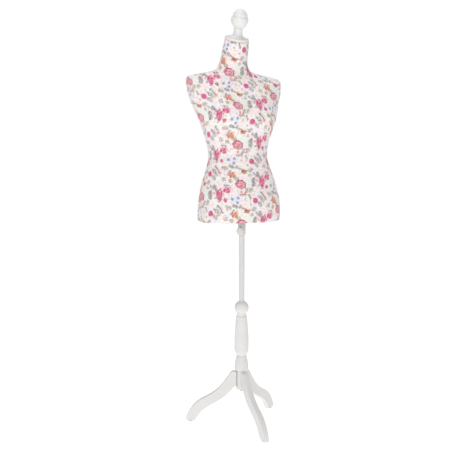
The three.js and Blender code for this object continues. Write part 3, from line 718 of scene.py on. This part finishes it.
# height, half width, half depth, middle behind the pole, forward tilt, squareness, in mm as in the CAD form
formLevels = [
    (792, 160, 108, 27, 0, 2.25), (800, 162.5, 110.5, 27, 0, 2.25), (835, 163, 114, 26, 0, 2.25),
    (875, 158.5, 112, 25, 0, 2.25), (940, 143, 101, 29, 0, 2.25), (1000, 122, 92, 34, 0, 2.25),
    (1041, 113.5, 87.5, 38, 0, 2.25), (1090, 122, 87.5, 41, 0, 2.25), (1140, 139, 92, 41, 0, 2.25),
    (1190, 157, 97, 45, 0, 2.3), (1240, 175, 90, 62, 0, 2.4), (1290, 193, 77, 70, 0, 2.5),
    (1318, 197, 66, 73, 1, 2.5), (1332, 188, 56, 75, 3, 2.4), (1341, 160, 50, 77, 5, 2.2),
    (1350, 112, 50, 79, 8, 2.1), (1362, 72, 53, 80, 12, 2), (1382, 56.5, 52, 79, 16, 2),
    (1410, 51.5, 50.5, 72, 19, 2), (1440, 49, 48.5, 60, 20, 2), (1470, 46.5, 46.5, 48.5, 20, 2),
]
bust = {"height": 1179, "depth": 25, "spacing": 72, "wide": 52, "above": 58, "below": 40}
armPlate = {"halfWidth": 182, "bottom": 1254, "lean": 0.06, "soft": 2.2}
# inset, height
hem = [(26, 794.6), (18, 794.6), (12, 794.2), (9, 792.4), (5.5, 791), (2.5, 791), (0.7, 791.4)]
tuck = [(0.6, 0.4), (2.2, 0.8), (7, 0.9), (14, 0.9)]  # inset, height above the neck, under the cap


def smoothStep(low, high, value):
    t = min(max((value - low) / (high - low), 0), 1)
    return t * t * (3 - 2 * t)


def formPoint(rowValues, turn, inset=0.0):
    # a point of the form's surface in mm, turn counted from the form's side through its back
    height, halfWidth, halfDepth, middle, tilt, squareness = rowValues
    angle = (turn % 1) * math.tau
    cosine, sine = math.cos(angle), math.sin(angle)
    reach = (abs(cosine) ** squareness + abs(sine) ** squareness) ** (-1 / squareness)
    x = abs((halfWidth - inset) * reach * cosine)
    plate = armPlate["halfWidth"] + armPlate["lean"] * (height - armPlate["bottom"]) - inset
    spare = min((plate - x) / armPlate["soft"], 60)
    if spare < 60:
        x = plate - armPlate["soft"] * math.log1p(math.exp(spare))  # the flat arm end, with a softened edge
    upwards = (height - bust["height"]) / (bust["above"] if height > bust["height"] else bust["below"])
    sideways = (x - bust["spacing"]) / bust["wide"]
    swell = bust["depth"] * math.exp(-sideways ** 2 - upwards ** 2) * smoothStep(0, 0.3, -sine)
    depth = (halfDepth - inset) * reach * sine - swell
    lean = math.radians(tilt)
    return Vector((math.copysign(x, cosine), middle + depth * math.cos(lean),
                   height + depth * math.sin(lean)))


def coverRows():
    # the cloth's rows from its hem under the base, up the form, to its end under the neck cap
    rows = []
    turns = [i / torsoCover["around"] for i in range(torsoCover["around"] + 1)]
    for inset, height in hem:
        rows.append([formPoint((height, *formLevels[0][1:]), turn, inset) for turn in turns])
    for values in catmull(formLevels, torsoCover["rowsPerLevel"]):
        rows.append([formPoint(values, turn) for turn in turns])
    tilt = math.radians(formLevels[-1][4])
    upright = Vector((0, -math.sin(tilt), math.cos(tilt)))
    for inset, lift in tuck:
        rows.append([formPoint(formLevels[-1], turn, inset) + upright * lift for turn in turns])
    return rows


def runningLength(points, start):
    # signed distance along a run of points from one of them
    lengths = [0.0]
    for a, b in zip(points, points[1:]):
        lengths.append(lengths[-1] + (b - a).length)
    return [one - lengths[start] for one in lengths]


def makeCover():
    rows = coverRows()
    around, count = torsoCover["around"], len(rows)
    bm = bmesh.new()
    bmesh.ops.create_grid(bm, x_segments=around, y_segments=count - 1, size=1)
    placeOf = {}
    for vert in bm.verts:
        i = round((vert.co.x + 1) / 2 * around)
        j = round((vert.co.y + 1) / 2 * (count - 1))
        placeOf[vert] = (i, j)
        vert.co = rows[j][i] * mm

    # each panel, front and back, is laid out flat from its middle line, in mm
    cloth = bm.loops.layers.uv.new("cloth")
    seam = bm.loops.layers.uv.new("seam")
    frontMiddle, backMiddle = around * 3 // 4, around // 4
    across, upwards = {}, {}
    for middle in (frontMiddle, backMiddle):
        across[middle] = [runningLength(row, middle) for row in rows]
        upwards[middle] = runningLength([row[middle] for row in rows], len(hem))
    for face in bm.faces:
        middle = frontMiddle if sum(placeOf[v][0] for v in face.verts) / 4 > around / 2 else backMiddle
        for loop in face.loops:
            i, j = placeOf[loop.vert]
            sideways, height = across[middle][j][i], upwards[middle][j]
            edge = across[middle][j][min(max(i, middle - backMiddle), middle + backMiddle)]
            end = across[middle][j][middle + backMiddle if sideways > 0 else middle - backMiddle]
            loop[cloth].uv = (edge + (torsoCover["backShift"] if middle == backMiddle else 0), height)
            loop[seam].uv = (abs(end - sideways), height)
    bmesh.ops.remove_doubles(bm, verts=bm.verts, dist=0.00002)
    bmesh.ops.recalc_face_normals(bm, faces=bm.faces)

    # the foam under the cloth isn't perfectly even
    wave = random.Random(7)
    bumps = [(wave.uniform(20, 45), wave.uniform(0, 6.3), wave.uniform(20, 45),
              wave.uniform(0, 6.3)) for _ in range(4)]
    for vert in bm.verts:
        x, z = vert.co.x, vert.co.z
        lift = sum(math.sin(x * a + b) * math.sin(z * c + d) for a, b, c, d in bumps) / len(bumps)
        vert.co += vert.normal * lift * torsoCover["unevenness"] * mm
    piece = finishPiece(bm, "torso_cover", "form", cotton, ("fabric_cover", "foam_core", "neck_core"),
                        sharp=60)
    wall = piece.modifiers.new("cloth thickness", "SOLIDIFY")
    wall.thickness = torsoCover["thickness"] * mm
    wall.offset = -1
    return piece


makeCover()
print("torso cover done")


# neck cap and finial

neck = {"y": 48.5, "z": 1470, "tilt": 20}
finial = {"ball": 32, "dome": 27.5, "middle": 75}  # two radii, and the ball's middle above the neck's end


def onNeck():
    # sets a piece made upright on the neck's tilted end
    place = Matrix.Translation((0, poleY + neck["y"] * mm, neck["z"] * mm))
    return place @ Matrix.Rotation(math.radians(neck["tilt"]), 4, "X")


def makeNeckCap():
    flare = catmull([(27, 14.2), (20, 20.2), (17, 29.2), (16, 44.2)], 8)
    profile = [(0, 1.3), (44.3, 1.3), (46, 3.4), (46, 8.2), (44.2, 10.8), (33, 12.2), (30, 12.6), *flare,
               (0, 44.2)]
    shaped = rounded(profile[:6], 1.2) + profile[6:]
    finishPiece(spun(shaped), "neck_cap_turned", "form", whitePaint, ("neck_cap",), onNeck(),
                sharp=50)


def makeFinial():
    ball = arcRun(finial["ball"], finial["middle"], -60, 19, 22)
    lip = [(29.8, 86.6), (28.6, 87.1), (26.4, 87.2), (26.1, 88.2), (26.6, 88.7)]
    dome = arcRun(finial["dome"], 87.8, 4, 90, 22)
    profile = [(0, 44.5), (15.0, 44.5), (15.8, 45.3), *ball, *lip, *dome]
    finishPiece(spun(profile), "finial_turned", "form", whitePaint, ("finial_ball",),
                onNeck(), sharp=50)


makeNeckCap()
makeFinial()
print("neck cap and finial done")


# pole, collar and lock knob

lock = {
    "azimuth": -131, "height": 755.5,
    "knob": 14, "near": 19.5, "far": 28.5,  # the knob's radius, and its two ends from the pole's axis
    "lobes": 8, "lobeDepth": 1.5, "face": 9,  # finger hollows, which begin outside this radius
}


def outwards(azimuth, height):
    # turns a piece made along Z so that Z points out from the pole
    lift = Matrix.Translation((0, poleY, height * mm))
    return lift @ Matrix.Rotation(math.radians(azimuth), 4, "Z") @ Matrix.Rotation(math.pi / 2, 4, "Y")


def makePole():
    profile = rounded([(9.8, 425.3), (11, 425.3), (11, 902), (9.8, 902)], 0.3)
    finishPiece(spun(profile, 64), "pole_tube", "stand", enamel, ("lower_pole",))


def makeCollar():
    profile = [(11.3, 738), (12.4, 738), (14.4, 742), (14.4, 785), (14.0, 785.6), (14.0, 786.6),
               (14.4, 787.2), (14.4, 792), (13, 792), (13, 751.7), (11.3, 751.7)]
    bm = spun(rounded(profile, 0.8), 72)
    boss = spun(rounded([(0, 12.8), (7.4, 12.8), (7.2, 17.2), (6.8, 18.5), (0, 18.5)], 0.5), 40)
    turned = Matrix.Translation((0, -poleY, 0)) @ outwards(lock["azimuth"], lock["height"])
    bmesh.ops.transform(boss, matrix=turned, verts=boss.verts)
    spare = bpy.data.meshes.new("boss")
    boss.to_mesh(spare)
    boss.free()
    bm.from_mesh(spare)
    bpy.data.meshes.remove(spare)
    finishPiece(bm, "collar_moulding", "mast", greyPlastic, ("lock_collar",))


def makeKnob():
    near, far, radius = lock["near"], lock["far"], lock["knob"]
    profile = [(0, near), (7.5, near), (7.5, near + 1), (radius - 1.4, near + 1), (radius, near + 2.2),
               (radius, far - 1.8), (radius - 1.8, far), (8.6, far), (7.9, far - 0.6), (0, far - 0.6)]
    bm = spun(rounded(profile, 0.8), 96)
    face = lock["face"]
    for vert in bm.verts:
        out = math.hypot(vert.co.x, vert.co.y) / mm
        if out > face:
            wave = math.cos(math.atan2(vert.co.y, vert.co.x) * lock["lobes"])
            dent = lock["lobeDepth"] * max(0, -wave) ** 1.3 * (out - face) / (radius - face)
            vert.co.xy *= (out - dent) / out
    bmesh.ops.recalc_face_normals(bm, faces=bm.faces)
    finishPiece(bm, "knob_moulding", "lock_knob", greyPlastic, ("lock_knob",),
                outwards(lock["azimuth"], lock["height"]), sharp=50)


makePole()
makeCollar()
makeKnob()
print("pole, collar and knob done")


# turned pillar, hub and legs

def makePillar():
    foot = [(3.3, 212), (24.2, 212), (26.4, 214), (27, 217.5), (27, 228.4), (26.7, 229.6), (26.2, 231.4)]
    lowerCove = catmull([(26.6, 234.4), (24.6, 247), (21.6, 258), (20.6, 265.6)], 7)
    shaft = [(18.4, 267.2), (17.8, 268.6), (18.1, 270.4),
             *catmull([(19.5, 273.4), (23.2, 280), (26.4, 286.6), (27.6, 293)], 5),
             (27.6, 329)]
    vase = catmull([(27.1, 350), (25.3, 371), (24.2, 393), (22.2, 410), (21.4, 422.4)], 6)
    ball = arcRun(27.6, 457, -48, 62, 26)
    socket = [(12.2, 481.9), (11.4, 481.4), (11.3, 425), (3.3, 425)]
    profile = [*foot, *lowerCove, *shaft, *vase, (20.6, 424.2), (18.6, 425.2), *ball, *socket]
    finishPiece(spun(profile, 96), "pillar_turned", "stand", whitePaint, ("pillar",),
                sharp=40)


def addFlatShading(piece):
    # keeps the flat faces flat where a rounded edge meets them
    weighted = piece.modifiers.new("flat faces stay flat", "WEIGHTED_NORMAL")
    weighted.keep_sharp = True


def makeHub():
    bm = bmesh.new()
    apothem, bottom, top = 18.6, 137, 211.7
    corner = apothem / math.cos(math.pi / 6) * mm
    bmesh.ops.create_cone(bm, cap_ends=True, segments=6, radius1=corner, radius2=corner,
                          depth=(top - bottom) * mm,
                          matrix=Matrix.Translation((0, 0, (top + bottom) / 2 * mm)))
    bmesh.ops.bevel(bm, geom=bm.edges, offset=1.3 * mm, affect="EDGES", segments=3, profile=0.5,
                    material=-1)
    addFlatShading(finishPiece(bm, "hub_block", "stand", whitePaint, ("hub",), sharp=60))


legs = {"leg_front": -90, "leg_rear_left": 150, "leg_rear_right": 30}
leg = {"thickness": 22, "edge": 3.2, "inner": 18.9, "sole": 3.3, "padAt": 200.5}


def legOutline():
    under = catmull([(26, 147), (46, 123.5), (73, 98), (105, 77.5), (138, 56.5), (164, 32),
                     (182, leg["sole"])], 6)
    back = catmull([(219, leg["sole"]), (214, 26), (194, 60), (167, 85), (125, 109.5), (92, 135.5),
                    (63, 172), (44, 199)], 6)
    top = [(42, 201.6), (39.3, 204), (35.6, 205.6), (31, 206), (leg["inner"], 206)]
    return [(leg["inner"], 147), *under, *back, *top]


def makeLeg(node, azimuth):
    bm = bmesh.new()
    half = leg["thickness"] / 2
    corners = [bm.verts.new((r * mm, -half * mm, z * mm)) for r, z in legOutline()]
    side = bm.faces.new(corners)
    grown = bmesh.ops.extrude_face_region(bm, geom=[side])["geom"]
    bmesh.ops.translate(bm, vec=(0, 2 * half * mm, 0),
                        verts=[g for g in grown if isinstance(g, bmesh.types.BMVert)])
    bmesh.ops.recalc_face_normals(bm, faces=bm.faces)
    long = [e for e in bm.edges if abs(e.verts[0].co.y - e.verts[1].co.y) < 0.0001
            and min(e.verts[0].co.x, e.verts[1].co.x) > (leg["inner"] + 0.1) * mm]
    bmesh.ops.bevel(bm, geom=long, offset=leg["edge"] * mm, affect="EDGES", segments=4, profile=0.5,
                    material=-1)
    turned = Matrix.Translation((0, poleY, 0)) @ Matrix.Rotation(math.radians(azimuth), 4, "Z")
    addFlatShading(finishPiece(bm, node + "_sawn", "stand", whitePaint, (node,), turned,
                               sharp=50))


def makeFootPad(node, azimuth):
    bm = spun(rounded([(0, 0), (10.6, 0), (11, 0.5), (11, 2.3), (10.3, 3), (0, 3)], 0.3), 48)
    middle = Matrix.Rotation(math.radians(azimuth), 4, "Z") @ Vector((leg["padAt"] * mm, 0, 0))
    finishPiece(bm, node + "_pad_felt", "stand", felt, (node + "_pad",),
                Matrix.Translation((middle.x, poleY + middle.y, 0)))


makePillar()
makeHub()
for node, azimuth in legs.items():
    makeLeg(node, azimuth)
    makeFootPad(node, azimuth)
print("stand done")


# fittings that keep their CAD shape

fittings = {
    "tie_rod": zinc, "tie_washer": zinc, "tie_nut": zinc, "pole_end_nut": zinc,
    "finial_screw": zinc, "lock_nut": zinc, "lock_screw": zinc, "upper_tube": enamel,
    "lock_pad": darkPlastic, "pole_guide": darkPlastic, "upper_tube_plug": darkPlastic,
    "socket_sleeve": darkPlastic, "base_board": plywood, "neck_plug": plywood,
}
for node in legs:
    fittings[node + "_bolt"] = fittings[node + "_insert"] = zinc
for i in range(1, 5):
    fittings[f"flange_screw_{i}"] = zinc
for node, material in fittings.items():
    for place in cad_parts[node].material_slots:
        place.material = material
print("fittings done")
